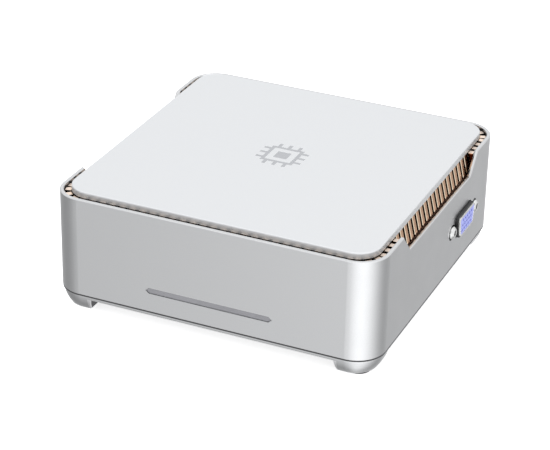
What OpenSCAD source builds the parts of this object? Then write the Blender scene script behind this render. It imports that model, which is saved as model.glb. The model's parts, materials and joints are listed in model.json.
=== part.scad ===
// Small square desktop computer, drawn piece by piece in millimetres.
// The origin is on the table plane, under the middle of the case.
// +X is the right side, +Y the rear, +Z up.

/* [Case] */
// Width of the case, left to right
body_w = 128; // [126:0.5:130]
// Depth of the case, front to back
body_d = 128; // [126:0.5:130]
// Outer radius of the upright corners
corner_r = 11.3; // [10.5:0.1:12]
// Thickness of the case walls
wall = 1.5; // [1.4:0.05:1.6]
// Height of the seam between the case and the base cover
seam_z = 7.6; // [7.6:0.1:7.8]
// Height of the rim of the walls
rim_z = 46.6; // [46.4:0.1:46.8]

/* [Top plate and grille] */
// Gap between the side of the case and the side of the top plate
plate_inset = 3.8; // [3.8:0.1:4.2]
// Height of the upper face of the top plate
plate_top = 48; // [47.8:0.1:48.2]
// Radius of the rounded upper edge of the plate
plate_edge_r = 0.5; // [0.4:0.1:1]
// Distance from one grille slat to the next
slat_pitch = 4; // [3.8:0.1:4.2]
// Width of a slat
slat_w = 2.5; // [2.4:0.1:3]

/* [Side dips] */
// Half the length of a dip at the rim
dip_top = 39.4; // [38:0.1:40]
// Half the length of a dip at its floor
dip_floor = 32.4; // [31:0.1:33]
// Height of the floor of a dip
dip_z = 38.9; // [38.6:0.1:40]

/* [Light bar] */
// Length of the light bar
light_len = 49.8; // [46:0.2:52]
// Height of the light bar
light_h = 2.1; // [1.6:0.1:2.4]
// Height of the middle of the light bar
light_z = 16.2; // [15.8:0.1:17]

/* [Base] */
// Height of the underside of the base cover between the feet
cover_z = 5.7; // [5.5:0.1:5.8]
// Distance from the middle of the case to the inner side of a foot
foot_in = 48.4; // [48.2:0.1:49]
// Spacing of the monitor bracket inserts
vesa = 75; // [75]

/* [Joints] */
// Travel of the power button
button_travel = 0.5; // [0.3:0.05:0.6]
// Number of fan blades
blades = 9; // [7:1:11]

/* [Hidden] */
$fn = 48;
eps = 0.01;
gap = 0.3;
fit = 0.05;
foot_z = 0.7;
lip_z = seam_z - 0.25;
in_x = body_w / 2 - wall;
in_y = body_d / 2 - wall;
in_r = corner_r - wall;
shelf_z0 = 34.4;
shelf_z = 36.4;
shelf_in = 57.5;
grille_z = shelf_z + 2;
plate_z = 45.6;
board_z = 17;
board_t = 1.6;
under_z = board_z - board_t;
post_x = 44;
post_y = 54;
hang_x = 50;
hang_y = 46;
plate_boss = 51;
face_in = 0.2;

// Places of the sockets along their walls
vga_y = 26.5;
vga_z = 23.4;
vga_out = 1.8;
collar_out = 1.1;
jack_span = 24.99;
power_x = 35.5;
hdmi_x = 20;
net_x = 1;
rear_usb = [-17, -33];
side_usb = [2, 18];
audio_y = -14;
audio_z = 19.75;
button_y = -36;
button_z = 19.2;
reset_y = -26;
reset_z = 19;
lock_y = 33;
lock_z = 24;
inlet_z = 22.5;

// ---------- shared shapes ----------

// A block with rounded corners whose side follows the half profile given as a child.
// The profile is drawn with x measured from the centre of the corner, y as height.
module profile_slab(w, d, r, z0, z1) {
    cx = w / 2 - r;
    cy = d / 2 - r;
    for (sx = [-1, 1], sy = [-1, 1])
        translate([sx * cx, sy * cy, 0])
            rotate_extrude()
                children();
    for (s = [0, 1])
        mirror([0, s, 0])
            translate([-cx, cy, 0])
                rotate([90, 0, 90])
                    linear_extrude(2 * cx)
                        children();
    for (s = [0, 1])
        mirror([s, 0, 0])
            translate([cx, cy, 0])
                rotate([90, 0, 0])
                    linear_extrude(2 * cy)
                        children();
    translate([-cx, -cy, z0])
        cube([2 * cx, 2 * cy, z1 - z0]);
}

// A straight block with rounded corners, centred, its base at z0.
module slab(w, d, r, z0, z1) {
    profile_slab(w, d, r, z0, z1)
        translate([0, z0])
            square([r, z1 - z0]);
}

// The direction out of side i of a convex outline given counterclockwise.
function out_angle(points, i) =
    let (a = points[i], b = points[(i + 1) % len(points)])
    atan2(a.x - b.x, b.y - a.y);

// Such an outline grown by r, its corners rounded in short steps.
module round_outline(points, r) {
    n = len(points);
    steps = 5;
    polygon([
        for (i = [0 : n - 1])
            let (from = out_angle(points, (i + n - 1) % n))
            let (turn = (out_angle(points, i) - from + 360) % 360)
            for (k = [0 : steps])
                let (angle = from + turn * k / steps)
                points[i] + r * [cos(angle), sin(angle)]
    ]);
}

// A centred rounded rectangle outline.
module round_box(w, h, r) {
    x = w / 2 - r;
    y = h / 2 - r;
    round_outline([[-x, -y], [x, -y], [x, y], [-x, y]], r);
}

module at_corners(x, y) {
    for (sx = [-1, 1], sy = [-1, 1])
        translate([sx * x, sy * y, 0])
            children();
}

// Stands a drawing in the XY plane up beside a side wall: its extrusion runs along +X.
module on_side(y, z, x) {
    translate([x, y, z])
        rotate([90, 0, 90])
            children();
}

// The same for the rear wall: the drawing's x runs along +X, its extrusion towards the rear.
module on_rear(x, z, y) {
    translate([x, y, z])
        rotate([90, 0, 0])
            mirror([0, 0, 1])
                children();
}

// A thin six-sided lead through the given points, with a small collar at each bend.
module lead(points, r) {
    for (i = [0 : len(points) - 2]) {
        run = points[i + 1] - points[i];
        reach = norm(run);
        translate(points[i])
            rotate([0, acos(run.z / reach), atan2(run.y, run.x)])
                cylinder(r = r, h = reach, $fn = 6);
    }
    for (p = points)
        translate([p.x, p.y, p.z - r * 1.1])
            cylinder(r = r * 1.3, h = r * 2.2, $fn = 6);
}

// A pan head screw pointing up, the underside of its head at z = 0.
module screw(shank_r, shank_h, head_r, head_h) {
    difference() {
        union() {
            translate([0, 0, -head_h])
                cylinder(r = head_r, h = head_h);
            translate([0, 0, -eps])
                cylinder(r = shank_r, h = shank_h);
        }
        for (a = [0, 90])
            rotate(a)
                translate([-head_r * 0.6, -0.25, -head_h - eps])
                    cube([head_r * 1.2, 0.5, head_h * 0.6]);
    }
}

// ---------- case ----------

module dip_cut() {
    slope = (dip_top - dip_floor) / (rim_z - dip_z);
    up = 3;
    rotate([90, 0, 90])
        translate([0, 0, -body_w])
            linear_extrude(2 * body_w)
                polygon([
                    [-dip_floor, dip_z], [dip_floor, dip_z],
                    [dip_top + slope * up, rim_z + up], [-dip_top - slope * up, rim_z + up]
                ]);
}

module light_outline(grow) {
    x = light_len / 2 + grow;
    z = light_h / 2 + grow;
    polygon([[-x, 0], [-x + 1.4, -z], [x - 1.4, -z], [x, 0], [x - 1.4, z], [-x + 1.4, z]]);
}

module usb_outline(w, h) {
    round_box(w, h, 0.4);
}

module hdmi_outline(grow) {
    side = 6.5;
    floor = 4.6;
    top = 1.9;
    round_outline(
        [[-floor, -1.75], [floor, -1.75], [side, 0.2], [side, top], [-side, top], [-side, 0.2]], 0.5 + grow);
}

module vga_outline(r) {
    round_outline([[-6.0, -2.75], [6.0, -2.75], [6.95, 2.75], [-6.95, 2.75]], r);
}

module socket_cuts() {
    // right wall: video socket with room for its jack screws
    on_side(vga_y, vga_z, in_x - 1) {
        linear_extrude(wall + 2) {
            vga_outline(2.2);
            square([jack_span - 3, 4.4], center = true);
            for (s = [-1, 1])
                translate([s * jack_span / 2, 0])
                    circle(3.1);
        }
    }
    // rear wall
    on_rear(power_x, inlet_z, in_y - 1)
        cylinder(r = 4 + gap, h = wall + 2);
    on_rear(hdmi_x, 20, in_y - 1)
        linear_extrude(wall + 2)
            hdmi_outline(0.6);
    on_rear(net_x, board_z + 6.7, in_y - 1)
        linear_extrude(wall + 2)
            square([16.6, 14], center = true);
    for (x = rear_usb)
        on_rear(x, board_z + 2.85, in_y - 1)
            linear_extrude(wall + 2)
                usb_outline(13.7, 6.3);
    // left wall
    for (y = side_usb)
        on_side(y, board_z + 2.85, -in_x - wall - 1)
            linear_extrude(wall + 2)
                usb_outline(13.7, 6.3);
    on_side(audio_y, audio_z, -in_x - wall - 1)
        cylinder(r = 3 + gap, h = wall + 2);
    on_side(button_y, button_z, -in_x - wall - 1)
        cylinder(r = 3.2 + gap, h = wall + 2);
    on_side(reset_y, reset_z, -in_x - wall - 1)
        cylinder(r = 0.8, h = wall + 2);
    on_side(lock_y, lock_z, -in_x - wall - 1)
        linear_extrude(wall + 2)
            round_box(7, 3, 0.6);
}

rim_edge = 0.3;
rim_inner = 0.3;
bevel_in = 0.7;
bevel_down = 0.5;

// Bevels along both sides of one edge of the right dip, from point a to point b, each [y, z].
module dip_bevel(a, b) {
    outer = body_w / 2;
    run = b - a;
    past = 0.2;
    translate([0, a.x, a.y])
        rotate([atan2(run.y, run.x) - 90, 0, 0])
            translate([0, 0, -past])
                linear_extrude(norm(run) + 2 * past) {
                    polygon([
                        [in_x - 1, -1], [in_x + bevel_in, -1], [in_x + bevel_in, 0],
                        [in_x, bevel_down], [in_x - 1, bevel_down]
                    ]);
                    polygon([
                        [outer + 1, -1], [outer + 1, rim_edge], [outer, rim_edge],
                        [outer - rim_edge, 0], [outer - rim_edge, -1]
                    ]);
                }
}

module dip_bevels() {
    for (s = [0, 1])
        mirror([s, 0, 0]) {
            dip_bevel([-dip_top, rim_z], [-dip_floor, dip_z]);
            dip_bevel([-dip_floor, dip_z], [dip_floor, dip_z]);
            dip_bevel([dip_floor, dip_z], [dip_top, rim_z]);
        }
}

module shell_walls() {
    foot_edge = 0.15;
    difference() {
        profile_slab(body_w, body_d, corner_r, seam_z, rim_z)
            polygon([
                [0, seam_z], [corner_r - foot_edge, seam_z], [corner_r, seam_z + foot_edge],
                [corner_r, rim_z - rim_edge], [corner_r - rim_edge, rim_z], [0, rim_z]
            ]);
        profile_slab(2 * in_x, 2 * in_y, in_r, seam_z - 1, rim_z + 1)
            polygon([
                [0, seam_z - 1], [in_r, seam_z - 1], [in_r, rim_z - rim_inner], [in_r + rim_inner, rim_z],
                [in_r + rim_inner, rim_z + 1], [0, rim_z + 1]
            ]);
        dip_cut();
        dip_bevels();
        socket_cuts();
        translate([0, -in_y + 1, light_z])
            rotate([90, 0, 0])
                linear_extrude(wall + 2)
                    light_outline(0.1);
    }
}

// The inside ledge that carries the grille, with a gusset in each corner for the posts and plate screws.
module shell_shelf() {
    difference() {
        slab(2 * in_x + 0.4, 2 * in_y + 0.4, in_r + 0.2, shelf_z0, shelf_z);
        difference() {
            translate([-shelf_in, -shelf_in, shelf_z0 - 1])
                cube([2 * shelf_in, 2 * shelf_in, shelf_z - shelf_z0 + 2]);
            for (sx = [-1, 1], sy = [-1, 1])
                translate([
                    sx > 0 ? post_x - 4 : -shelf_in - 1,
                    sy > 0 ? hang_y - 3.5 : -shelf_in - 1,
                    shelf_z0 - 2
                ])
                    cube([shelf_in + 5 - post_x, shelf_in + 4.5 - hang_y, 6]);
        }
        at_corners(plate_boss, plate_boss)
            translate([0, 0, shelf_z0 - 1])
                cylinder(r = 1.6, h = 5);
    }
}

module shell_posts() {
    // posts for the base cover
    at_corners(post_x, post_y)
        difference() {
            translate([0, 0, lip_z])
                cylinder(r = 3.2, h = shelf_z0 + 1 - lip_z);
            translate([0, 0, lip_z - 1])
                cylinder(r = 1.25 + fit, h = 9);
        }
    for (sx = [-1, 1], sy = [-1, 1])
        translate([sx * post_x - 0.9, sy > 0 ? post_y + 2.5 : -in_y - 0.2, 10.2])
            cube([1.8, in_y + 0.2 - post_y - 2.5, shelf_z0 - 9.7]);
    // posts that hold the motherboard
    at_corners(hang_x, hang_y)
        difference() {
            translate([0, 0, board_z])
                cylinder(r = 2.7, h = shelf_z0 + 1 - board_z);
            translate([0, 0, board_z - 1])
                cylinder(r = 1.25 + fit, h = 9);
        }
    for (sx = [-1, 1], sy = [-1, 1])
        translate([sx > 0 ? hang_x + 2.2 : -in_x - 0.2, sy * hang_y - 0.9, board_z + 1])
            cube([in_x + 0.2 - hang_x - 2.2, 1.8, shelf_z0 - board_z - 0.5]);
}

module outer_shell() {
    color("silver")
        union() {
            shell_walls();
            shell_shelf();
            shell_posts();
        }
}

module plate_profile(r) {
    translate([0, plate_z])
        square([r - plate_edge_r, plate_top - plate_z]);
    translate([0, plate_z])
        square([r, plate_top - plate_z - plate_edge_r]);
    intersection() {
        translate([r - plate_edge_r, plate_top - plate_edge_r])
            circle(plate_edge_r);
        translate([0, plate_z])
            square([r, plate_top - plate_z]);
    }
}

// A plain chip pictogram: a square frame, a square core and three pins on each side.
module emblem_outline() {
    difference() {
        square(13, center = true);
        square(10.2, center = true);
    }
    square(5.4, center = true);
    for (a = [0 : 90 : 270])
        rotate(a)
            for (k = [-1 : 1])
                translate([k * 4 - 0.7, 6.5])
                    square([1.4, 2.6]);
}

module top_plate() {
    r = corner_r - 2.4;
    color("gainsboro")
        difference() {
            union() {
                profile_slab(body_w - 2 * plate_inset, body_d - 2 * plate_inset, r, plate_z, plate_top)
                    plate_profile(r);
                at_corners(plate_boss, plate_boss)
                    translate([0, 0, shelf_z])
                        cylinder(r = 3, h = plate_z - shelf_z + 0.5);
            }
            translate([0, 0, plate_top - 0.3])
                linear_extrude(1)
                    emblem_outline();
            at_corners(plate_boss, plate_boss)
                translate([0, 0, shelf_z - 1])
                    cylinder(r = 1.25 + fit, h = 8);
        }
}

module plate_emblem() {
    color("gray")
        translate([0, 0, plate_top - 0.3])
            linear_extrude(0.3)
                emblem_outline();
}

module plate_screws() {
    color("dimgray")
        at_corners(plate_boss, plate_boss)
            translate([0, 0, shelf_z0])
                screw(1.25, 8, 2.3, 1.4);
}

// ---------- grille ----------

grille_x = in_x - gap;
grille_y = in_y - gap;
grille_r = in_r - gap;
ring_in = 4;
slat_low = 37.6;
slat_out = 61.98;
slat_lean = 13.5;
slat_deep = 2.6;
slats = 13;
dip_slats = 9;
block_w = 2.3;
block_top = plate_z - 0.35;

// One slat of a dip, leaning in from the wall at the lower ring to the plate, its front edges bevelled.
module slat() {
    half = slat_w / 2;
    cut = 0.35;
    back = 0.22;
    rotate([0, -slat_lean, 0])
        linear_extrude((plate_z - 0.05 - slat_low) / cos(slat_lean))
            polygon([
                [-slat_deep, -half], [-back, -half], [0, cut - half],
                [0, half - cut], [-back, half], [-slat_deep, half]
            ]);
}

// One flat-topped block that bridges the gap between the plate and the wall beside the dips.
module block(from, to) {
    translate([from, -block_w / 2, grille_z - 1])
        cube([to - from, block_w, block_top - grille_z + 1]);
}

module grille_ring(w, d, r, width, z0, z1) {
    difference() {
        slab(w, d, r, z0, z1);
        slab(w - 2 * width, d - 2 * width, r - width, z0 - 1, z1 + 1);
    }
}

module vent_grille() {
    corner = body_w / 2 - corner_r;
    upper = 59;
    upper_w = 2.8;
    upper_h = 1.4;
    root = upper - 0.5;
    quarters = [[1, 1, 0], [-1, 1, 90], [-1, -1, 180], [1, -1, 270]];
    color("peru")
        union() {
            grille_ring(2 * grille_x, 2 * grille_y, grille_r, ring_in, shelf_z, grille_z);
            grille_ring(2 * upper, 2 * upper, upper - corner, upper_w, plate_z - upper_h, plate_z);
            for (side = [0, 180], k = [-dip_slats : dip_slats])
                rotate(side)
                    translate([slat_out, k * slat_pitch, slat_low])
                        slat();
            for (side = [0 : 90 : 270], k = [-slats : slats])
                if (side % 180 == 90 || abs(k) > dip_slats)
                    rotate(side)
                        translate([0, k * slat_pitch, 0])
                            block(root, grille_x);
            for (q = quarters, a = [17, 45, 73])
                translate([q.x * corner, q.y * corner, 0])
                    rotate(q.z + a)
                        block(root - corner, grille_r - 0.1);
        }
}

// ---------- light bar ----------

module light_bar() {
    color("lightsteelblue")
        translate([0, -in_y, light_z])
            rotate([90, 0, 0]) {
                linear_extrude(wall - 0.3)
                    light_outline(0);
                translate([0, 0, -1.2])
                    linear_extrude(1.2)
                        square([light_len + 4, light_h + 3], center = true);
            }
}

module light_board() {
    color("darkgreen")
        translate([-29, -in_y + 2.1, light_z - 3.2])
            cube([58, 1, 6.4]);
}

module light_leds() {
    color("white")
        for (k = [-3.5 : 3.5])
            translate([k * 6.4 - 1, -in_y + 1.3, light_z - 0.6])
                cube([2, 0.8, 1.2]);
}

// ---------- base ----------

// Side of the base: a short lip under the seam, then a curve that pulls in down to the feet.
module cover_profile() {
    bulge = 10.5;
    steps = 7;
    side = corner_r - 0.5;
    drop = lip_z - 0.5 - foot_z;
    curve = [
        for (k = [0 : steps])
            let (down = drop * (1 - k / steps))
            [side - bulge + sqrt(bulge * bulge - pow(down + 0.8, 2)), foot_z + drop - down]
    ];
    lip = corner_r - 0.1;
    polygon(concat([[0, foot_z]], curve, [[0, lip_z - 0.5]]));
    polygon([[0, lip_z - 0.5], [lip, lip_z - 0.5], [lip, lip_z - 0.2], [lip - 0.2, lip_z], [0, lip_z]]);
}

module between_feet(half) {
    draft = 1.1;
    linear_extrude(3 * body_w, center = true)
        polygon([
            [-half, cover_z], [-half - draft, foot_z - 1], [half + draft, foot_z - 1], [half, cover_z]
        ]);
}

module vent_slots() {
    for (s = [-1, 1], k = [0 : 7])
        translate([s * 17, -12 + 3.6 * k, 0])
            linear_extrude(20) {
                square([24.4, 1.6], center = true);
                for (e = [-1, 1])
                    translate([e * 12.2, 0])
                        circle(0.8);
            }
}

pad_at = 54.9;

module bottom_cover() {
    color("silver")
        difference() {
            union() {
                profile_slab(body_w, body_d, corner_r, foot_z, lip_z)
                    cover_profile();
                // upstand that locates the cover inside the walls
                difference() {
                    slab(2 * (in_x - gap), 2 * (in_y - gap), in_r - gap, lip_z - 0.5, lip_z + 2.2);
                    slab(2 * (in_x - 2), 2 * (in_y - 2), in_r - 2, lip_z - 1, lip_z + 3);
                }
                at_corners(vesa / 2, vesa / 2)
                    translate([0, 0, lip_z - 0.5])
                        cylinder(r = 4.2, h = 4);
            }
            rotate([90, 0, 0])
                between_feet(foot_in);
            rotate([90, 0, 90])
                between_feet(foot_in);
            at_corners(pad_at, pad_at)
                translate([0, 0, foot_z - 1])
                    cylinder(r = 5.2, h = 1.8);
            at_corners(vesa / 2, vesa / 2)
                translate([0, 0, cover_z - 1])
                    cylinder(r = 2.7, h = 8);
            at_corners(post_x, post_y) {
                translate([0, 0, cover_z - 1])
                    cylinder(r = 1.6, h = 5);
                translate([0, 0, cover_z - 1])
                    cylinder(r = 2.8, h = 2);
                translate([0, 0, lip_z])
                    cylinder(r = 3.5, h = 5);
            }
            vent_slots();
        }
}

module cover_screws() {
    color("dimgray")
        at_corners(post_x, post_y)
            translate([0, 0, cover_z + 1])
                screw(1.25, 8, 2.4, 0.9);
}

module rubber_feet() {
    color("black")
        at_corners(pad_at, pad_at) {
            translate([0, 0, 0.3])
                cylinder(r = 4.9, h = foot_z + 0.5);
            cylinder(r1 = 4.6, r2 = 4.9, h = 0.3);
        }
}

module vesa_inserts() {
    color("gold")
        at_corners(vesa / 2, vesa / 2)
            difference() {
                translate([0, 0, cover_z + 0.2])
                    cylinder(r = 2.7, h = 4.9);
                translate([0, 0, cover_z - 1])
                    cylinder(r = 1.65, h = 8);
            }
}

// ---------- motherboard ----------

module motherboard() {
    half = 60.5;
    notch_x = 39.5;
    notch_y = 49.6;
    color("darkgreen")
        difference() {
            translate([-half, -57.5, under_z])
                cube([2 * half, 117.5, board_t]);
            for (sx = [-1, 1], sy = [-1, 1])
                translate([sx > 0 ? notch_x : -half - 1, sy > 0 ? notch_y : -70, under_z - 1])
                    cube([half + 1 - notch_x, 70 - notch_y, board_t + 2]);
            at_corners(hang_x, hang_y)
                translate([0, 0, under_z - 1])
                    cylinder(r = 1.6, h = board_t + 2);
        }
}

module board_screws() {
    color("dimgray")
        at_corners(hang_x, hang_y)
            translate([0, 0, under_z])
                screw(1.25, 7, 2.3, 1.4);
}

module board_coils() {
    color("dimgray")
        for (k = [0 : 4])
            translate([-30 + 8 * k, -42, board_z]) {
                linear_extrude(3.6)
                    round_box(6.4, 6.4, 0.8);
                translate([0, 0, 3.6])
                    cylinder(r = 2.2, h = 0.3);
            }
}

module board_capacitors() {
    color("slategray")
        for (k = [0 : 3])
            translate([14 + 7 * k, -42, board_z]) {
                translate([-2.6, -2.6, 0])
                    cube([5.2, 5.2, 0.6]);
                translate([0, 0, 0.6])
                    cylinder(r = 2.4, h = 5.2);
            }
}

module board_chips() {
    places = [
        [-43, -12, 7, 7], [-43, 34, 9, 6], [44, -28, 9, 9],
        [44, -10, 6, 6], [2, 36, 12, 8], [-20, 38, 7, 7]
    ];
    color("black")
        for (p = places)
            translate([p[0], p[1], board_z])
                linear_extrude(1)
                    square([p[2], p[3]], center = true);
}

module fan_header() {
    color("ivory")
        translate([41, 2, board_z])
            difference() {
                cube([4, 7, 4.4]);
                translate([0.8, 0.8, 1])
                    cube([4, 5.4, 4]);
            }
}

// ---------- cooling ----------

die_z = board_z + 1.1;
pad_z = die_z + 0.6;
sink_z = pad_z + 0.7;
fin_z = sink_z + 2.6;
fan_z = 33;
fan_t = 10;
fan_hole = 25;

module cpu_package() {
    color("green")
        translate([-17.5, -12, board_z])
            cube([35, 24, 1.1]);
}

module cpu_die() {
    color("gray")
        translate([-6, -4, die_z])
            cube([12, 8, 0.6]);
}

module thermal_pad() {
    color("lightblue")
        translate([-7, -5, pad_z])
            cube([14, 10, 0.7]);
}

module heatsink() {
    color("lightgray")
        difference() {
            union() {
                translate([-37, -28, sink_z])
                    cube([74, 56, 2.6]);
                for (k = [-8 : 8])
                    translate([k * 2.6 - 0.4, -28, fin_z - eps])
                        cube([0.8, 56, fan_z - fin_z + eps]);
                at_corners(fan_hole, fan_hole)
                    translate([0, 0, fin_z - eps])
                        cylinder(r = 3, h = fan_z - fin_z + eps);
            }
            at_corners(33.5, 24)
                translate([0, 0, sink_z - 1])
                    cylinder(r = 1.6, h = 5);
            at_corners(fan_hole, fan_hole)
                translate([0, 0, fan_z - 6])
                    cylinder(r = 1.25 + fit, h = 7);
        }
}

module heatsink_standoffs() {
    color("gold")
        at_corners(33.5, 24)
            translate([0, 0, board_z])
                difference() {
                    cylinder(r = 2.6, h = sink_z - board_z);
                    translate([0, 0, -1])
                        cylinder(r = 1 + fit, h = 6);
                }
}

module heatsink_screws() {
    color("silver")
        at_corners(33.5, 24)
            translate([0, 0, fin_z])
                rotate([180, 0, 0])
                    screw(1, 4.4, 2.2, 1.3);
}

module fan_frame() {
    bore = 28.2;
    color("black")
        difference() {
            union() {
                difference() {
                    slab(60, 60, 4, fan_z, fan_z + fan_t);
                    translate([0, 0, fan_z - 1])
                        cylinder(r = bore, h = fan_t + 2, $fn = 96);
                }
                translate([0, 0, fan_z])
                    cylinder(r = 12.5, h = 1.5);
                for (a = [30 : 90 : 300])
                    rotate(a)
                        translate([10, -1.5, fan_z])
                            cube([bore - 9, 3, 1.5]);
                translate([0, 0, fan_z])
                    cylinder(r = 3, h = 6.5);
            }
            translate([0, 0, fan_z + 1])
                cylinder(r = 1.5 + fit, h = fan_t);
            at_corners(fan_hole, fan_hole)
                translate([0, 0, fan_z - 1])
                    cylinder(r = 2.1, h = fan_t + 2);
        }
}

module fan_stator() {
    color("chocolate")
        translate([0, 0, fan_z + 1.5])
            difference() {
                union() {
                    cylinder(r = 6, h = 4.6);
                    for (a = [0 : 60 : 300])
                        rotate(a)
                            translate([5, -1.2, 0.6])
                                cube([5, 2.4, 3.4]);
                    for (a = [0 : 60 : 300])
                        rotate(a)
                            translate([9.2, -2.8, 0.6])
                                cube([1, 5.6, 3.4]);
                }
                translate([0, 0, -1])
                    cylinder(r = 3 + gap, h = 8);
            }
}

module fan_blades() {
    intersection() {
        for (k = [0 : blades - 1])
            rotate(k * 360 / blades)
                translate([11.8, 0, fan_z + 5.8])
                    rotate([42, 0, 0])
                        translate([0, -4.4, -0.45])
                            cube([17, 8.8, 0.9]);
        translate([0, 0, fan_z + 2])
            cylinder(r = 27.4, h = 7.4, $fn = 96);
    }
}

module fan_rotor() {
    color("dimgray")
        union() {
            difference() {
                union() {
                    translate([0, 0, fan_z + 2])
                        cylinder(r = 12.8, h = 7.4);
                    fan_blades();
                }
                translate([0, 0, fan_z + 1])
                    cylinder(r = 11.6, h = 7.2);
            }
            translate([0, 0, fan_z + 1.5])
                cylinder(r = 1.5, h = 7.5);
        }
}

module fan_screws() {
    color("silver")
        at_corners(fan_hole, fan_hole)
            translate([0, 0, fan_z + fan_t])
                rotate([180, 0, 0])
                    screw(1.25, 15, 2.6, 1.4);
}

module fan_lead() {
    color("black")
        lead([[31, 12, 34.5], [36, 12, 33], [40, 9.5, 26], [42.8, 6.5, 24], [43.4, 5.5, 19.5]], 0.7);
}

// ---------- under the board ----------

module memory_socket() {
    color("black")
        difference() {
            union() {
                translate([-36, -30.5, 11.2])
                    cube([72, 6.5, under_z - 11.2]);
                for (s = [-1, 1])
                    translate([s * 35.2 - 0.8, -25, 12])
                        cube([1.6, 26, under_z - 12]);
            }
            translate([-33.9, -26.5, 12.5])
                cube([67.8, 4, 1.3]);
        }
}

module memory_module() {
    color("green")
        difference() {
            translate([-33.8, -26.4, 12.55])
                cube([67.6, 30, 1.2]);
            for (s = [-1, 1])
                translate([s * 33.8, -6.5, 12])
                    cylinder(r = 0.9, h = 3);
        }
}

module memory_chips() {
    color("black")
        for (k = [-1.5 : 1.5])
            translate([k * 15 - 5.5, -15, 11.55])
                cube([11, 12, 1]);
}

ssd_z = 12.6;

module ssd_socket() {
    color("black")
        difference() {
            translate([-47, 10, 11.4])
                cube([7, 22, under_z - 11.4]);
            translate([-42.2, 9.9, ssd_z - 0.05])
                cube([4, 22.2, 0.9]);
        }
}

module ssd_board() {
    color("green")
        difference() {
            translate([-42, 10, ssd_z])
                cube([79, 22, 0.8]);
            translate([37, 21, ssd_z - 1])
                cylinder(r = 1.75, h = 3);
        }
}

module ssd_chips() {
    color("black")
        for (x = [-33, -13, 5])
            translate([x, 14, ssd_z - 1])
                cube([14, 14, 1]);
}

module ssd_screw() {
    color("silver")
        translate([37, 21, 0]) {
            translate([0, 0, ssd_z + 0.8])
                cylinder(r = 2.6, h = under_z - ssd_z - 0.8);
            translate([0, 0, ssd_z - eps])
                cylinder(r = 1.4, h = 1);
            difference() {
                translate([0, 0, ssd_z - 1])
                    cylinder(r = 2.6, h = 1);
                translate([-1.6, -0.3, ssd_z - 1.1])
                    cube([3.2, 0.6, 0.6]);
            }
        }
}

module radio_card() {
    color("darkslategray")
        translate([-20, -55, 0]) {
            translate([-4, 0, 11.8])
                cube([6, 22, under_z - 11.8]);
            translate([1.5, 0, 12.6])
                cube([28.5, 22, 0.8]);
            translate([6, 2.5, 11.3])
                cube([14, 17, 1.4]);
            for (y = [7, 15])
                translate([26, y, 11.1])
                    cylinder(r = 1.2, h = 1.6);
        }
}

module antennas() {
    color("black")
        for (s = [-1, 1])
            translate([s * (in_x - 0.3) - 0.25, -27, 24.5])
                cube([0.5, 24, 8.5]);
}

module antenna_leads() {
    x = in_x - 1.2;
    z = 10.4;
    ends = [[8, -47.2, z], [8, -39.2, z]];
    color("gray")
        for (i = [0, 1]) {
            s = i == 0 ? 1 : -1;
            lead([[s * x, -22, 24], [s * x, -22, z], [s * 29, -30.5, z], ends[i]], 0.5);
        }
}

module cell_holder() {
    color("black")
        translate([14, 47, 0])
            difference() {
                translate([0, 0, 11.6])
                    cylinder(r = 11.6, h = under_z - 11.6);
                translate([0, 0, 10])
                    cylinder(r = 10.3, h = 5.1);
                translate([-3, -13, 11])
                    cube([6, 26, 3]);
            }
}

module coin_cell() {
    color("silver")
        translate([14, 47, 11.9])
            cylinder(r = 10, h = 3.2);
}

// ---------- video socket ----------

module vga_housing() {
    color("black")
        on_side(vga_y, vga_z, 0) {
            difference() {
                union() {
                    translate([0, 0, in_x - 1.6])
                        linear_extrude(1.4)
                            round_box(30.8, 12.4, 1.5);
                    translate([-12, board_z - vga_z, in_x - 11])
                        cube([24, 12, 9.6]);
                    // collar round the shell, proud of the wall
                    translate([0, 0, in_x - 1])
                        linear_extrude(wall + 1 + collar_out)
                            vga_outline(1.95);
                }
                translate([0, 0, in_x - 2.6])
                    linear_extrude(wall + 5)
                        vga_outline(1.4);
                for (s = [-1, 1])
                    translate([s * jack_span / 2, 0, in_x - 3])
                        cylinder(r = 1.5, h = 4);
            }
        }
}

module vga_shell() {
    color("silver")
        on_side(vga_y, vga_z, in_x - 2.6)
            linear_extrude(2.6 + wall + vga_out)
                difference() {
                    vga_outline(1.35);
                    vga_outline(0.8);
                }
}

module vga_pins() {
    for (row = [-1 : 1], k = [-2 : 2])
        translate([k * 2.29 + row * 0.5, row * 1.98])
            children();
}

module vga_insert() {
    color("royalblue")
        on_side(vga_y, vga_z, in_x - 2.6)
            difference() {
                linear_extrude(2.6 + wall + vga_out - 0.15)
                    vga_outline(0.75);
                translate([0, 0, 1])
                    vga_pins()
                        cylinder(r = 0.6, h = 9, $fn = 24);
            }
}

module vga_contacts() {
    color("gold")
        on_side(vga_y, vga_z, in_x - 1.6)
            vga_pins()
                difference() {
                    cylinder(r = 0.55, h = 3.2, $fn = 24);
                    translate([0, 0, 1])
                        cylinder(r = 0.35, h = 9, $fn = 24);
                }
}

module vga_jackscrews() {
    color("silver")
        on_side(vga_y, vga_z, 0)
            for (s = [-1, 1])
                translate([s * jack_span / 2, 0, 0])
                    difference() {
                        union() {
                            translate([0, 0, in_x - 0.2])
                                cylinder(r = 2.5, h = wall + 0.8);
                            translate([0, 0, in_x + wall + 0.6])
                                cylinder(r1 = 2.5, r2 = 1.6, h = 0.8);
                            translate([0, 0, in_x - 3])
                                cylinder(r = 1.45, h = 3);
                        }
                        translate([0, 0, in_x - 1])
                            cylinder(r = 1.15, h = 6);
                    }
}

// ---------- rear sockets ----------

mouth_y = body_d / 2 - face_in;

module hdmi_shell() {
    color("silver")
        on_rear(hdmi_x, 20, mouth_y - 12)
            linear_extrude(12)
                difference() {
                    hdmi_outline(0.3);
                    hdmi_outline(0);
                }
}

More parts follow.
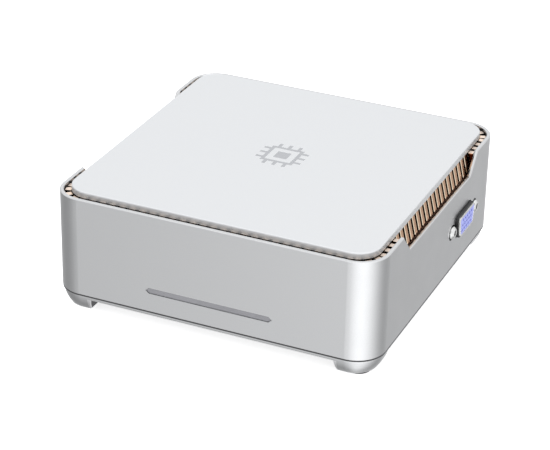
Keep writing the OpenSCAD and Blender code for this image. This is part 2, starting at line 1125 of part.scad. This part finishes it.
module hdmi_tongue() {
    color("black")
        on_rear(hdmi_x, 20, mouth_y - 12 + 0.4) {
            linear_extrude(3)
                hdmi_outline(-0.1);
            translate([-5.6, -0.8, 0])
                cube([11.2, 1.6, 10]);
        }
}

net_h = 13.4;
net_w = 16;
net_len = 20;

module net_cavity() {
    translate([0, 8, 0])
        linear_extrude(net_len) {
            translate([-5.9, -5.4])
                square([11.8, 8.4]);
            translate([-3.2, -7.1])
                square([6.4, 2]);
        }
}

module net_shield() {
    color("silver")
        on_rear(net_x, board_z, mouth_y - net_len)
            difference() {
                translate([-net_w / 2, 0, 0])
                    cube([net_w, net_h, net_len]);
                translate([-net_w / 2 + 0.3, -1, 0.3])
                    cube([net_w - 0.6, net_h + 0.7, net_len]);
            }
}

module net_housing() {
    color("black")
        on_rear(net_x, board_z, mouth_y - net_len)
            difference() {
                translate([-net_w / 2 + 0.3, 0, 0.3])
                    cube([net_w - 0.6, net_h - 0.3, net_len - 0.5]);
                translate([0, 0, 6])
                    net_cavity();
            }
}

module net_contacts() {
    color("gold")
        on_rear(net_x, board_z, mouth_y - net_len)
            for (k = [-3.5 : 3.5])
                translate([k * 1.02 - 0.2, 0, 0]) {
                    translate([0, 8.9, 6.3])
                        rotate([-14, 0, 0])
                            cube([0.4, 0.4, 7]);
                    translate([0, 10.6, 12.8])
                        cube([0.4, 0.4, 4]);
                }
}

// ---------- shared usb sockets ----------

module at_usb() {
    for (x = rear_usb)
        on_rear(x, board_z + 2.85, mouth_y - 14)
            children();
    for (y = side_usb)
        translate([-body_w / 2 + face_in + 14, y, board_z + 2.85])
            rotate([90, 0, -90])
                children();
}

module usb_shells() {
    color("silver")
        at_usb()
            difference() {
                linear_extrude(14)
                    usb_outline(13.1, 5.7);
                translate([0, 0, 0.4])
                    linear_extrude(14)
                        square([12.5, 5.1], center = true);
                for (s = [-1, 1])
                    translate([s * 3 - 1, -4, 7])
                        cube([2, 8, 3]);
            }
}

module usb_tongues() {
    color("royalblue")
        at_usb()
            translate([0, 0, 0.4]) {
                translate([-6.2, -2.5, 0])
                    cube([12.4, 5, 4]);
                translate([-5.5, 0.3, 0])
                    cube([11, 1.8, 13]);
            }
}

module usb_contacts() {
    color("gold")
        at_usb()
            for (x = [-3.5, -1, 1, 3.5])
                translate([x - 0.5, 0.05, 4.4])
                    cube([1, 0.25, 8]);
}

// ---------- round sockets ----------

module audio_jack() {
    color("black")
        translate([-body_w / 2 + face_in, audio_y, audio_z])
            rotate([0, 90, 0])
                difference() {
                    union() {
                        cylinder(r = 3, h = 3.2);
                        translate([-2.75, -3.3, wall])
                            cube([5.5, 6.6, 12]);
                    }
                    translate([0, 0, -1])
                        cylinder(r = 1.8, h = 12.5);
                }
}

module power_inlet() {
    color("black")
        on_rear(power_x, inlet_z, 0)
            difference() {
                union() {
                    translate([-4.6, board_z - inlet_z, mouth_y - 14])
                        cube([9.2, 11, 12.3]);
                    translate([0, 0, mouth_y - 4])
                        cylinder(r = 4, h = 4);
                }
                translate([0, 0, mouth_y - 10])
                    cylinder(r = 2.8, h = 12);
            }
}

module inlet_pin() {
    color("silver")
        on_rear(power_x, inlet_z, mouth_y - 10) {
            cylinder(r = 1.05, h = 8.4);
            translate([0, 0, 8.4])
                sphere(1.05);
        }
}

// ---------- buttons ----------

module power_button() {
    out = button_travel + 0.1;
    color("silver") {
        translate([-body_w / 2 - out, button_y, button_z])
            rotate([0, 90, 0]) {
                cylinder(r1 = 2.9, r2 = 3.2, h = 0.3);
                translate([0, 0, 0.3])
                    cylinder(r = 3.2, h = out + wall);
                translate([0, 0, out + wall + 0.05])
                    cylinder(r = 4.3, h = 0.8);
            }
        // stem and the plunger of the switch
        translate([-body_w / 2, button_y, button_z])
            rotate([0, 90, 0])
                cylinder(r = 1, h = 6.4);
    }
}

module side_switch(y, z, r) {
    translate([-59.2, y - 3, board_z])
        difference() {
            cube([4.6, 6, 4.2]);
            translate([-1, 3, z - board_z])
                rotate([0, 90, 0])
                    cylinder(r = r + fit, h = 4);
        }
}

module power_switch() {
    color("dimgray") {
        side_switch(button_y, button_z, 1);
        side_switch(reset_y, reset_z, 0.8);
    }
}

module reset_plunger() {
    color("ivory")
        translate([-60.2, reset_y, reset_z])
            rotate([0, 90, 0])
                cylinder(r = 0.8, h = 2.4);
}

outer_shell();
top_plate();
plate_emblem();
plate_screws();
vent_grille();
light_bar();
light_board();
light_leds();
bottom_cover();
cover_screws();
rubber_feet();
vesa_inserts();
motherboard();
board_screws();
board_coils();
board_capacitors();
board_chips();
fan_header();
cpu_package();
cpu_die();
thermal_pad();
heatsink();
heatsink_standoffs();
heatsink_screws();
fan_frame();
fan_stator();
fan_rotor();
fan_screws();
fan_lead();
memory_socket();
memory_module();
memory_chips();
ssd_socket();
ssd_board();
ssd_chips();
ssd_screw();
radio_card();
antennas();
antenna_leads();
cell_holder();
coin_cell();
vga_housing();
vga_shell();
vga_insert();
vga_contacts();
vga_jackscrews();
hdmi_shell();
hdmi_tongue();
net_shield();
net_housing();
net_contacts();
usb_shells();
usb_tongues();
usb_contacts();
audio_jack();
power_inlet();
inlet_pin();
power_button();
power_switch();
reset_plunger();
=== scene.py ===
"""Mini pc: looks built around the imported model. Lengths are metres, in the model's own frame."""

import json
import math

import bmesh
import bpy
from mathutils import Matrix, Vector


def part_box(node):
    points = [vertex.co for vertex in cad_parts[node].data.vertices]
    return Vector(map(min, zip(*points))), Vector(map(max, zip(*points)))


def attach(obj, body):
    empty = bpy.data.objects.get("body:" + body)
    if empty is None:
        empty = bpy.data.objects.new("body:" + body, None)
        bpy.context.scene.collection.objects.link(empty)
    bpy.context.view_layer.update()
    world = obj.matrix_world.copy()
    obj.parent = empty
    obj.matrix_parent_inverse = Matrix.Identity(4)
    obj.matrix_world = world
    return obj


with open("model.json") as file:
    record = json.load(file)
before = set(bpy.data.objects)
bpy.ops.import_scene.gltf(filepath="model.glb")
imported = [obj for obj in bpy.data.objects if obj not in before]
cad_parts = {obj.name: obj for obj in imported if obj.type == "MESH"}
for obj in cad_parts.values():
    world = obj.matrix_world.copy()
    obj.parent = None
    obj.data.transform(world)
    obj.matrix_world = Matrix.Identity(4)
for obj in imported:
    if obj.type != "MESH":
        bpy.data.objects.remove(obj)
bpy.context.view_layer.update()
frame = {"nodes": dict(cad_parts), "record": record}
nodes = frame["nodes"]
MM = 0.001

# ---------- camera ----------

CAMERA_AT = Vector((0.26667, -0.62058, 0.36966))
CAMERA_AIM = Vector((-0.001098, -0.002884, 0.0196))
CAMERA_ROLL = math.radians(1.294)
CAMERA_LENS = 130.39
SENSOR_WIDTH = 36


def add_camera():
    """The photograph's viewpoint, with its slight roll."""
    data = bpy.data.cameras.new("camera")
    data.sensor_fit = "HORIZONTAL"
    data.sensor_width = SENSOR_WIDTH
    data.lens = CAMERA_LENS
    camera = bpy.data.objects.new("camera", data)
    bpy.context.scene.collection.objects.link(camera)
    ahead = (CAMERA_AIM - CAMERA_AT).normalized()
    side = ahead.cross(Vector((0, 0, 1))).normalized()
    above = side.cross(ahead)
    right = side * math.cos(CAMERA_ROLL) + above * math.sin(CAMERA_ROLL)
    up = above * math.cos(CAMERA_ROLL) - side * math.sin(CAMERA_ROLL)
    turn = Matrix((right, up, -ahead)).transposed().to_4x4()
    camera.matrix_world = Matrix.Translation(CAMERA_AT) @ turn
    bpy.context.scene.camera = camera


# ---------- sizes of the model that the paint masks follow ----------

CORNER_RADIUS = 11.3 * MM  # upright corners of the case
CORNER_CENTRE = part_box("outer_shell")[1][0] - CORNER_RADIUS  # of such a corner, from the middle planes
WALL = 1.5 * MM
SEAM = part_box("outer_shell")[0][2]  # lower edge of the case
COVER_UNDER = 5.7 * MM  # underside of the base between the feet
FOOT_INNER = 49.6 * MM  # the inner faces of the feet are nearer to a middle plane than this
FLANK_RADIUS = 10.5 * MM  # curve of the base's outer side
FLANK_INSET = 0.5 * MM  # from the outside of the case to that curve
PLATE_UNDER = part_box("vent_grille")[1][2]
SLAT_LEAN = math.radians(13.5)
SLAT_REACH = 60.1 * MM  # from a middle plane to the slats' faces, just under the plate
BLOCK_TOP = PLATE_UNDER - 0.35 * MM
LEDGE = 38.4 * MM  # height of the ring that the slats stand on

# ---------- material helpers ----------


def math_node(tree, operation, first, second=0.0):
    """One sum of two values; each is a number or a socket."""
    made = tree.nodes.new("ShaderNodeMath")
    made.operation = operation
    for socket, value in zip(made.inputs, (first, second)):
        if isinstance(value, (int, float)):
            socket.default_value = value
        else:
            tree.links.new(value, socket)
    return made.outputs[0]


def shade(color, factor):
    """The same colour, brighter or darker."""
    return tuple(min(1.0, c * factor) for c in color)


class Surface:
    """A procedural material: a principled shader with shortcuts for grain, tint and masks, the tint also
    carrying painted shade and highlights.
    """

    def __init__(self, name, color, roughness, metallic=0.0):
        self.material = bpy.data.materials.new(name)
        self.material.use_nodes = True
        self.tree = self.material.node_tree
        self.shader = self.tree.nodes["Principled BSDF"]
        self.color = color
        self.roughness = roughness
        self.set("Base Color", (*color, 1))
        self.set("Metallic", metallic)
        self.set("Roughness", roughness)
        self.place = self.add("ShaderNodeTexCoord").outputs["Object"]
        self.normal = None

    def set(self, socket, value):
        self.shader.inputs[socket].default_value = value

    def add(self, kind, **settings):
        made = self.tree.nodes.new(kind)
        for name, value in settings.items():
            setattr(made, name, value)
        return made

    def link(self, source, target):
        self.tree.links.new(source, target)

    def calc(self, operation, first, second=0.0):
        return math_node(self.tree, operation, first, second)

    def both(self, first, second):
        """A mask that is on only where two masks are."""
        return self.calc("MULTIPLY", first, second)

    def noise(self, size, detail, stretch=(1, 1, 1)):
        """Noise with features about size across; a low stretch draws them out along that axis."""
        scale = self.add("ShaderNodeMapping")
        scale.inputs["Scale"].default_value = tuple(s / size for s in stretch)
        made = self.add("ShaderNodeTexNoise")
        made.inputs["Scale"].default_value = 1.0
        made.inputs["Detail"].default_value = detail
        self.link(self.place, scale.inputs["Vector"])
        self.link(scale.outputs["Vector"], made.inputs["Vector"])
        return made.outputs["Fac"]

    def along(self, axis):
        """A point's coordinate on one axis."""
        apart = self.add("ShaderNodeSeparateXYZ")
        self.link(self.place, apart.inputs[0])
        return apart.outputs[axis]

    def sideways(self):
        """How far a point lies from the middle planes, in x and in y."""
        return [self.calc("ABSOLUTE", self.along(axis)) for axis in ("X", "Y")]

    def outward(self):
        """How far a point lies outside the square of the corner centres, seen from above."""
        beyond = [self.calc("SUBTRACT", distance, CORNER_CENTRE) for distance in self.sideways()]
        over = [self.calc("MAXIMUM", distance, 0.0) for distance in beyond]
        squares = [self.calc("MULTIPLY", distance, distance) for distance in over]
        return self.calc("SQRT", self.calc("ADD", *squares))

    def ramp(self, source, low, high, to_low, to_high):
        """A value that goes from to_low to to_high while the source goes from low to high."""
        made = self.add("ShaderNodeMapRange")
        made.inputs["From Min"].default_value = low
        made.inputs["From Max"].default_value = high
        made.inputs["To Min"].default_value = to_low
        made.inputs["To Max"].default_value = to_high
        self.link(source, made.inputs["Value"])
        return made.outputs["Result"]

    def past(self, source, edge, fade):
        """A mask that is off up to edge and on from edge + fade."""
        return self.ramp(source, edge, edge + fade, 0, 1)

    def before(self, source, edge, fade):
        """A mask that is on up to edge and off from edge + fade."""
        return self.ramp(source, edge, edge + fade, 1, 0)

    def blend(self, factor, first, second):
        """A colour between two others; each is a colour or a socket."""
        made = self.add("ShaderNodeMix", data_type="RGBA")
        self.link(factor, made.inputs["Factor"])
        for socket, value in (("A", first), ("B", second)):
            target = [i for i in made.inputs if i.name == socket and i.type == "RGBA"][0]
            if isinstance(value, tuple):
                target.default_value = (*value, 1)
            else:
                self.link(value, target)
        return [o for o in made.outputs if o.type == "RGBA"][0]

    def tint(self, factor, other):
        """Blend the base colour towards another one where factor is high."""
        socket = self.shader.inputs["Base Color"]
        first = socket.links[0].from_socket if socket.links else self.color
        self.link(self.blend(factor, first, other), socket)

    def mottle(self, pattern, low, high, amount, other):
        """Patches of another colour where the pattern is high, blended in by up to amount."""
        self.tint(self.ramp(pattern, low, high, 0, amount), other)

    def uneven(self, size, spread):
        """Roughness that wanders by plus or minus spread."""
        low, high = self.roughness - spread, self.roughness + spread
        wander = self.ramp(self.noise(size, detail=3), 0.3, 0.7, low, high)
        self.link(wander, self.shader.inputs["Roughness"])

    def soft_edges(self, radius):
        """Edges catch the light as if they were rounded to this radius."""
        bevel = self.add("ShaderNodeBevel", samples=6)
        bevel.inputs["Radius"].default_value = radius
        self.normal = bevel.outputs["Normal"]

    def bump(self, height, strength, depth):
        made = self.add("ShaderNodeBump")
        made.inputs["Strength"].default_value = strength
        made.inputs["Distance"].default_value = depth
        self.link(height, made.inputs["Height"])
        if self.normal:
            self.link(self.normal, made.inputs["Normal"])
        self.normal = made.outputs["Normal"]
        self.link(self.normal, self.shader.inputs["Normal"])


# ---------- silver paint of the case and the base ----------


def paint_inner_shade(s, height, outward):
    """Painted shade, dark grey, on the case's inner faces, down to the seam."""
    # dark grey of the painted shade
    painted_shade = (0.20, 0.20, 0.21)
    inside = s.before(outward, CORNER_RADIUS - WALL - 0.05 * MM, fade=0.08 * MM)
    above_seam = s.past(height, SEAM - 0.2 * MM, fade=0.05 * MM)
    s.tint(s.both(inside, above_seam), painted_shade)


def darken_seam(s, height):
    """Shadow in the narrow gap between the case and the base."""
    shadow = (0.12, 0.12, 0.124)
    over_lip = s.past(height, SEAM - 0.3 * MM, fade=0.03 * MM)
    under_wall = s.before(height, SEAM, fade=0.08 * MM)
    s.tint(s.both(over_lip, under_wall), shadow)


def paint_feet_shade_and_highlight(s, height, outward):
    """Painted shade on the inner faces of the feet, with a near-white painted highlight strip along
    their edge beside the curved outer side.
    """
    painted_edge_highlight = (0.98, 0.98, 0.99)
    painted_shade = (0.10, 0.10, 0.105)
    drop = s.calc("SUBTRACT", SEAM, height)
    curve = s.calc("SQRT", s.calc("SUBTRACT", FLANK_RADIUS**2, s.calc("MULTIPLY", drop, drop)))
    flank = s.calc("ADD", curve, CORNER_RADIUS - FLANK_INSET - FLANK_RADIUS)
    back_from_edge = s.past(s.calc("SUBTRACT", flank, outward), 1.1 * MM, fade=0.1 * MM)
    between_feet = s.before(s.calc("MINIMUM", *s.sideways()), FOOT_INNER, fade=0.05 * MM)
    under_base = s.before(height, COVER_UNDER + 0.02 * MM, fade=0.05 * MM)
    inner_face = s.both(between_feet, under_base)
    # painted highlight over the whole inner face, then painted shade over all of it but the strip at the
    # edge
    s.tint(inner_face, painted_edge_highlight)
    s.tint(s.both(inner_face, back_from_edge), painted_shade)


def silver_paint():
    """Fine metal flake, with painted shade on inner faces, in the seam and between the feet, and a
    painted highlight on the feet's inner edges.
    """
    color = (0.70, 0.705, 0.71)
    s = Surface("silver_paint", color, roughness=0.34, metallic=1.0)
    s.uneven(9 * MM, spread=0.03)
    flake = s.noise(0.22 * MM, detail=1)
    s.mottle(flake, 0.35, 0.65, amount=0.35, other=shade(color, 1.16))
    height = s.along("Z")
    outward = s.outward()
    paint_inner_shade(s, height, outward)
    darken_seam(s, height)
    paint_feet_shade_and_highlight(s, height, outward)
    s.bump(flake, strength=0.06, depth=0.05 * MM)
    return s.material


# ---------- copper paint of the grille ----------


def paint_slat_highlight_and_shade(s, height, depth, gap):
    """Painted highlight, pale, on the bevels beside the slats' faces, then painted shade in the gap's
    colour further in and down at the ledge.
    """
    # pale painted highlight on the bevels
    bevel = (1.0, 0.86, 0.66)
    s.tint(s.past(depth, 0.07 * MM, fade=0.04 * MM), bevel)
    # nearly black painted shade in the gaps and below the ledge
    s.tint(s.past(depth, 0.22 * MM, fade=0.06 * MM), gap)
    s.tint(s.before(height, LEDGE, fade=0.5 * MM), gap)


def paint_block_highlight_and_shade(s, height, depth, gap):
    """Painted highlight, pale, on the flat tops of the blocks, which stand further out than the slats,
    and painted shade on their sides.
    """
    # pale painted highlight for the block tops
    top = (1.0, 0.83, 0.70)
    on_block = s.before(depth, -0.08 * MM, fade=0.05 * MM)
    on_side = s.before(height, BLOCK_TOP - 0.3 * MM, fade=0.15 * MM)
    s.tint(s.both(on_block, on_side), gap)
    on_top = s.past(height, BLOCK_TOP - 0.1 * MM, fade=0.05 * MM)
    s.tint(s.both(on_block, on_top), top)


def copper_paint():
    """Bronze on the leaning faces of the slats, with paler painted highlights on the bevels and block
    tops and nearly black painted shade in the gaps.
    """
    # nearly black painted shade for the gaps, the block sides and below the ledge
    gap = (0.04, 0.008, 0.001)
    s = Surface("copper_paint", (0.85, 0.53, 0.34), roughness=0.26, metallic=1.0)
    s.uneven(5 * MM, spread=0.04)
    s.mottle(s.noise(3 * MM, detail=2), 0.4, 0.7, amount=0.3, other=(0.80, 0.47, 0.29))
    height = s.along("Z")
    down = s.calc("SUBTRACT", PLATE_UNDER, height)
    slant = s.calc("MULTIPLY", down, math.tan(SLAT_LEAN))
    face = s.calc("ADD", slant, SLAT_REACH - CORNER_CENTRE)
    depth = s.calc("SUBTRACT", face, s.outward())
    paint_slat_highlight_and_shade(s, height, depth, gap)
    paint_block_highlight_and_shade(s, height, depth, gap)
    s.bump(s.noise(0.25 * MM, detail=1), strength=0.08, depth=0.04 * MM)
    return s.material


# ---------- other metals ----------


def blasted_aluminium():
    """Matt plate with a fine blasted grain."""
    color = (0.80, 0.81, 0.82)
    s = Surface("blasted_aluminium", color, roughness=0.58, metallic=0.9)
    s.uneven(14 * MM, spread=0.03)
    grain = s.noise(0.35 * MM, detail=2)
    s.mottle(grain, 0.62, 0.74, amount=0.5, other=shade(color, 0.9))
    s.bump(grain, strength=0.12, depth=0.04 * MM)
    return s.material


def emblem_metal():
    """Brushed inlay, darker and glossier than the plate."""
    s = Surface("emblem_metal", (0.52, 0.53, 0.55), roughness=0.22, metallic=0.9)
    s.uneven(3 * MM, spread=0.05)
    s.bump(s.noise(0.3 * MM, detail=2, stretch=(1, 8, 1)), strength=0.08, depth=0.03 * MM)
    return s.material


def nickel():
    s = Surface("nickel", (0.86, 0.86, 0.85), roughness=0.24, metallic=1.0)
    s.soft_edges(0.3 * MM)
    s.uneven(2.5 * MM, spread=0.06)
    s.mottle(s.noise(4 * MM, detail=3), 0.45, 0.75, amount=0.5, other=(0.74, 0.73, 0.70))
    s.bump(s.noise(0.3 * MM, detail=2, stretch=(1, 6, 1)), strength=0.06, depth=0.03 * MM)
    return s.material


def dark_zinc():
    s = Surface("dark_zinc", (0.16, 0.16, 0.17), roughness=0.38, metallic=0.9)
    s.uneven(1.5 * MM, spread=0.08)
    s.mottle(s.noise(1.2 * MM, detail=3), 0.55, 0.8, amount=0.6, other=(0.34, 0.34, 0.36))
    s.bump(s.noise(0.2 * MM, detail=2), strength=0.1, depth=0.03 * MM)
    return s.material


def brass():
    s = Surface("brass", (0.79, 0.60, 0.28), roughness=0.3, metallic=1.0)
    s.uneven(1.5 * MM, spread=0.08)
    s.mottle(s.noise(1.6 * MM, detail=3), 0.5, 0.8, amount=0.6, other=(0.55, 0.38, 0.16))
    s.bump(s.noise(0.25 * MM, detail=2), strength=0.12, depth=0.04 * MM)
    return s.material


def gold():
    s = Surface("gold", (0.93, 0.71, 0.32), roughness=0.2, metallic=1.0)
    s.uneven(1 * MM, spread=0.06)
    s.mottle(s.noise(0.9 * MM, detail=2), 0.55, 0.8, amount=0.4, other=(0.74, 0.52, 0.2))
    s.bump(s.noise(0.2 * MM, detail=2), strength=0.06, depth=0.02 * MM)
    return s.material


def extruded_aluminium():
    """Streaks along y, the way the heatsink's fins were drawn."""
    s = Surface("extruded_aluminium", (0.66, 0.67, 0.68), roughness=0.36, metallic=1.0)
    s.uneven(2 * MM, spread=0.08)
    streaks = s.noise(2 * MM, detail=3, stretch=(1, 0.1, 1))
    s.mottle(streaks, 0.45, 0.7, amount=0.5, other=(0.52, 0.53, 0.55))
    s.bump(s.noise(0.3 * MM, detail=2, stretch=(1, 0.05, 1)), strength=0.15, depth=0.04 * MM)
    return s.material


def enamelled_copper():
    """Close turns of enamelled wire round an upright axis."""
    s = Surface("enamelled_copper", (0.62, 0.26, 0.10), roughness=0.3, metallic=0.8)
    turns = s.add("ShaderNodeTexWave", wave_type="BANDS", bands_direction="Z")
    turns.inputs["Scale"].default_value = 1 / (1.2 * MM)
    s.link(s.place, turns.inputs["Vector"])
    s.tint(turns.outputs["Fac"], (0.36, 0.12, 0.05))
    s.uneven(1 * MM, spread=0.08)
    s.bump(turns.outputs["Fac"], strength=0.6, depth=0.1 * MM)
    return s.material


def silicon():
    s = Surface("silicon", (0.22, 0.23, 0.27), roughness=0.12, metallic=0.6)
    s.uneven(2 * MM, spread=0.03)
    s.mottle(s.noise(3 * MM, detail=1), 0.4, 0.6, amount=0.6, other=(0.26, 0.22, 0.3))
    s.bump(s.noise(1 * MM, detail=1), strength=0.02, depth=0.01 * MM)
    return s.material


# ---------- plastics, rubber and the board ----------


def moulded(name, color, roughness, sheen=1.25, grain=0.3 * MM):
    """A moulded plastic: fine spark-eroded grain and slightly uneven gloss."""
    s = Surface(name, color, roughness)
    s.uneven(3 * MM, spread=0.06)
    s.mottle(s.noise(5 * MM, detail=3), 0.4, 0.75, amount=0.5, other=shade(color, sheen))
    s.bump(s.noise(grain, detail=2), strength=0.18, depth=0.04 * MM)
    return s.material


def frosted_lens():
    """Milky grey plastic of the light bar, unlit."""
    color = (0.22, 0.22, 0.235)
    s = Surface("frosted_lens", color, roughness=0.36)
    s.set("IOR", 1.49)
    s.set("Coat Weight", 0.2)
    s.uneven(2 * MM, spread=0.04)
    s.mottle(s.noise(6 * MM, detail=1), 0.4, 0.6, amount=0.5, other=shade(color, 1.15))
    s.bump(s.noise(0.4 * MM, detail=1), strength=0.05, depth=0.02 * MM)
    return s.material


def rubber():
    s = Surface("rubber", (0.028, 0.028, 0.03), roughness=0.78)
    s.uneven(3 * MM, spread=0.08)
    s.mottle(s.noise(2 * MM, detail=4), 0.5, 0.8, amount=0.5, other=(0.07, 0.07, 0.075))
    s.bump(s.noise(0.3 * MM, detail=3), strength=0.3, depth=0.06 * MM)
    return s.material


def circuit_board():
    """Green solder mask over copper tracks, with tinned pads."""
    s = Surface("circuit_board", (0.012, 0.10, 0.055), roughness=0.3)
    s.set("Coat Weight", 0.5)
    s.set("Coat Roughness", 0.12)
    tracks = s.add("ShaderNodeTexBrick", offset=0.37, squash=1.6, squash_frequency=3)
    tracks.inputs["Scale"].default_value = 1 / (6 * MM)
    tracks.inputs["Mortar Size"].default_value = 0.035
    tracks.inputs["Mortar Smooth"].default_value = 0.2
    s.link(s.place, tracks.inputs["Vector"])
    s.tint(tracks.outputs["Fac"], (0.03, 0.22, 0.12))
    pads = s.add("ShaderNodeTexVoronoi", feature="DISTANCE_TO_EDGE")
    pads.inputs["Scale"].default_value = 1 / (3 * MM)
    s.link(s.place, pads.inputs["Vector"])
    s.mottle(pads.outputs["Distance"], 0.44, 0.47, amount=1, other=(0.62, 0.6, 0.5))
    s.uneven(4 * MM, spread=0.05)
    s.bump(tracks.outputs["Fac"], strength=0.4, depth=0.05 * MM)
    return s.material


# ---------- the record's material slots ----------

FINISHES = {
    "case_silver": silver_paint(),
    "plate_silver": blasted_aluminium(),
    "emblem_metal": emblem_metal(),
    "grille_copper": copper_paint(),
    "light_lens": frosted_lens(),
    "rubber_black": rubber(),
    "screw_steel": dark_zinc(),
    "steel": nickel(),
    "insert_brass": brass(),
    "contact_gold": gold(),
    "board_green": circuit_board(),
    "board_black": moulded("black_plastic", (0.013, 0.013, 0.014), 0.5),
    "chip_black": moulded("chip_resin", (0.04, 0.04, 0.043), 0.6, sheen=1.4, grain=0.15 * MM),
    "white_plastic": moulded("white_plastic", (0.80, 0.79, 0.74), 0.42, sheen=1.06),
    "socket_blue": moulded("blue_plastic", (0.29, 0.32, 0.70), 0.42, sheen=1.08),
    "silicon": silicon(),
    "thermal": moulded("thermal_gel", (0.38, 0.48, 0.56), 0.65, sheen=1.1, grain=0.5 * MM),
    "heatsink_metal": extruded_aluminium(),
    "coil_copper": enamelled_copper(),
    "wire": moulded("wire_sheath", (0.035, 0.035, 0.037), 0.5, sheen=1.5, grain=0.6 * MM),
}


def finish_nodes():
    """Every CAD node gets the material of its slot in the record."""
    for part in frame["record"]["subparts"]:
        target = nodes[part["node"]]
        target.data.materials.clear()
        target.data.materials.append(FINISHES[part["material_slot"]])


# ---------- small lenses on the network socket ----------

LENS_SIZE = (3.2 * MM, 0.5 * MM, 1.3 * MM)
LENS_BEVEL = 0.2 * MM
LENS_ASIDE = 4.6 * MM  # from the socket's middle
LENS_DOWN = 1.1 * MM  # from the top of its housing


def add_indicator(name, side, color):
    """A bevelled lens let into the housing above the socket's mouth, on one side of its middle."""
    low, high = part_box("net_housing")
    middle = (low[0] + high[0]) / 2
    place = Vector((middle + side * LENS_ASIDE, high[1], high[2] - LENS_DOWN))
    made = bmesh.new()
    stretch = Matrix.Diagonal((*LENS_SIZE, 1))
    bmesh.ops.create_cube(made, size=1, matrix=Matrix.Translation(place) @ stretch)
    bmesh.ops.bevel(
        made, geom=made.edges[:], offset=LENS_BEVEL, segments=3, affect="EDGES", profile=0.5
    )
    mesh = bpy.data.meshes.new(name)
    made.to_mesh(mesh)
    made.free()
    lens = bpy.data.objects.new(name, mesh)
    mesh.materials.append(moulded(name + "_lens", color, 0.22, sheen=1.2, grain=0.5 * MM))
    bpy.context.scene.collection.objects.link(lens)
    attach(lens, "case")


# ---------- studio ----------

FLOOR_HALF = 4.0
FLOOR_GLOW = 0.75  # the table is lit from below, so that shadows on it stay faint
KEY_SIDE = {"towards": (0.574, -0.819, 0), "narrowness": 3.8, "strength": 1.25}  # front right
BACK_WALL = {"towards": (-0.26, 0.966, 0), "narrowness": 8.0, "strength": 0.58}
TENT_SIDES = 0.34  # brightness of the tent's sides where neither of those two adds to it
TENT_COLOR = (0.985, 0.99, 1.0, 1)
TOP_LIGHT_AT = Vector((0.2, -0.1, 1.3))
TOP_LIGHT_SIZE = 1.2
TOP_LIGHT_WATTS = 3


def floor_material():
    """Nearly white paper."""
    s = Surface("floor", (0.93, 0.93, 0.93), roughness=0.9)
    s.mottle(s.noise(0.2, detail=2), 0.4, 0.6, amount=0.3, other=(0.95, 0.95, 0.95))
    s.set("Emission Color", (1, 1, 1, 1))
    s.set("Emission Strength", FLOOR_GLOW)
    return s.material


def add_floor():
    """A wide table, which the case does not reflect."""
    mesh = bpy.data.meshes.new("floor")
    signs = ((-1, -1), (1, -1), (1, 1), (-1, 1))
    corners = [(x * FLOOR_HALF, y * FLOOR_HALF, 0) for x, y in signs]
    mesh.from_pydata(corners, [], [(0, 1, 2, 3)])
    floor = bpy.data.objects.new("floor", mesh)
    mesh.materials.append(floor_material())
    bpy.context.scene.collection.objects.link(floor)
    floor.visible_glossy = False


def soft_world():
    """A light tent: a bright roof, a broad bright side at the front right and a paler wall behind."""
    world = bpy.data.worlds.new("studio")
    world.use_nodes = True
    tree = world.node_tree
    direction = tree.nodes.new("ShaderNodeTexCoord").outputs["Generated"]

    def calc(operation, first, second):
        return math_node(tree, operation, first, second)

    def vector_node(operation, source, other=(0, 0, 0)):
        made = tree.nodes.new("ShaderNodeVectorMath")
        made.operation = operation
        made.inputs[1].default_value = other
        tree.links.new(source, made.inputs[0])
        return made.outputs

    level = vector_node("MULTIPLY", direction, (1, 1, 0))["Vector"]
    bearing = vector_node("NORMALIZE", level)["Vector"]

    def lobe(towards, narrowness, strength):
        """Light that is strongest towards one bearing and fades to nothing at the opposite one."""
        facing = vector_node("DOT_PRODUCT", bearing, towards)["Value"]
        half = calc("MULTIPLY", calc("ADD", facing, 1.0), 0.5)
        return calc("MULTIPLY", calc("POWER", half, narrowness), strength)

    height = tree.nodes.new("ShaderNodeSeparateXYZ")
    tree.links.new(direction, height.inputs[0])

    def rise(low, high, to_low, to_high):
        """A value that changes smoothly with the height of the view, from -1, down, to 1, up."""
        made = tree.nodes.new("ShaderNodeMapRange")
        made.interpolation_type = "SMOOTHSTEP"
        made.inputs["From Min"].default_value = low
        made.inputs["From Max"].default_value = high
        made.inputs["To Min"].default_value = to_low
        made.inputs["To Max"].default_value = to_high
        tree.links.new(height.outputs["Z"], made.inputs["Value"])
        return made.outputs["Result"]

    sides = calc("ADD", lobe(**KEY_SIDE), lobe(**BACK_WALL))
    sides = calc("ADD", sides, TENT_SIDES)
    sides = calc("MULTIPLY", sides, rise(low=-0.75, high=-0.5, to_low=0.82, to_high=1.0))
    roof = rise(low=-0.1, high=0.4, to_low=0.0, to_high=1.0)
    total = calc("ADD", roof, calc("MULTIPLY", sides, calc("SUBTRACT", 1.0, roof)))
    background = tree.nodes["Background"]
    background.inputs["Color"].default_value = TENT_COLOR
    tree.links.new(total, background.inputs["Strength"])
    bpy.context.scene.world = world


def add_top_light():
    """A weak square light overhead, aimed at the origin."""
    data = bpy.data.lights.new("light_top", "AREA")
    data.size = TOP_LIGHT_SIZE
    data.energy = TOP_LIGHT_WATTS
    lamp = bpy.data.objects.new("light_top", data)
    bpy.context.scene.collection.objects.link(lamp)
    lamp.location = TOP_LIGHT_AT
    lamp.rotation_euler = (-TOP_LIGHT_AT).to_track_quat("-Z", "Y").to_euler()


def add_studio():
    add_floor()
    soft_world()
    add_top_light()
    bpy.context.scene.view_settings.view_transform = "Standard"


add_camera()
finish_nodes()
add_indicator("link_indicator", -1, (0.10, 0.42, 0.12))
add_indicator("speed_indicator", 1, (0.75, 0.38, 0.04))
add_studio()
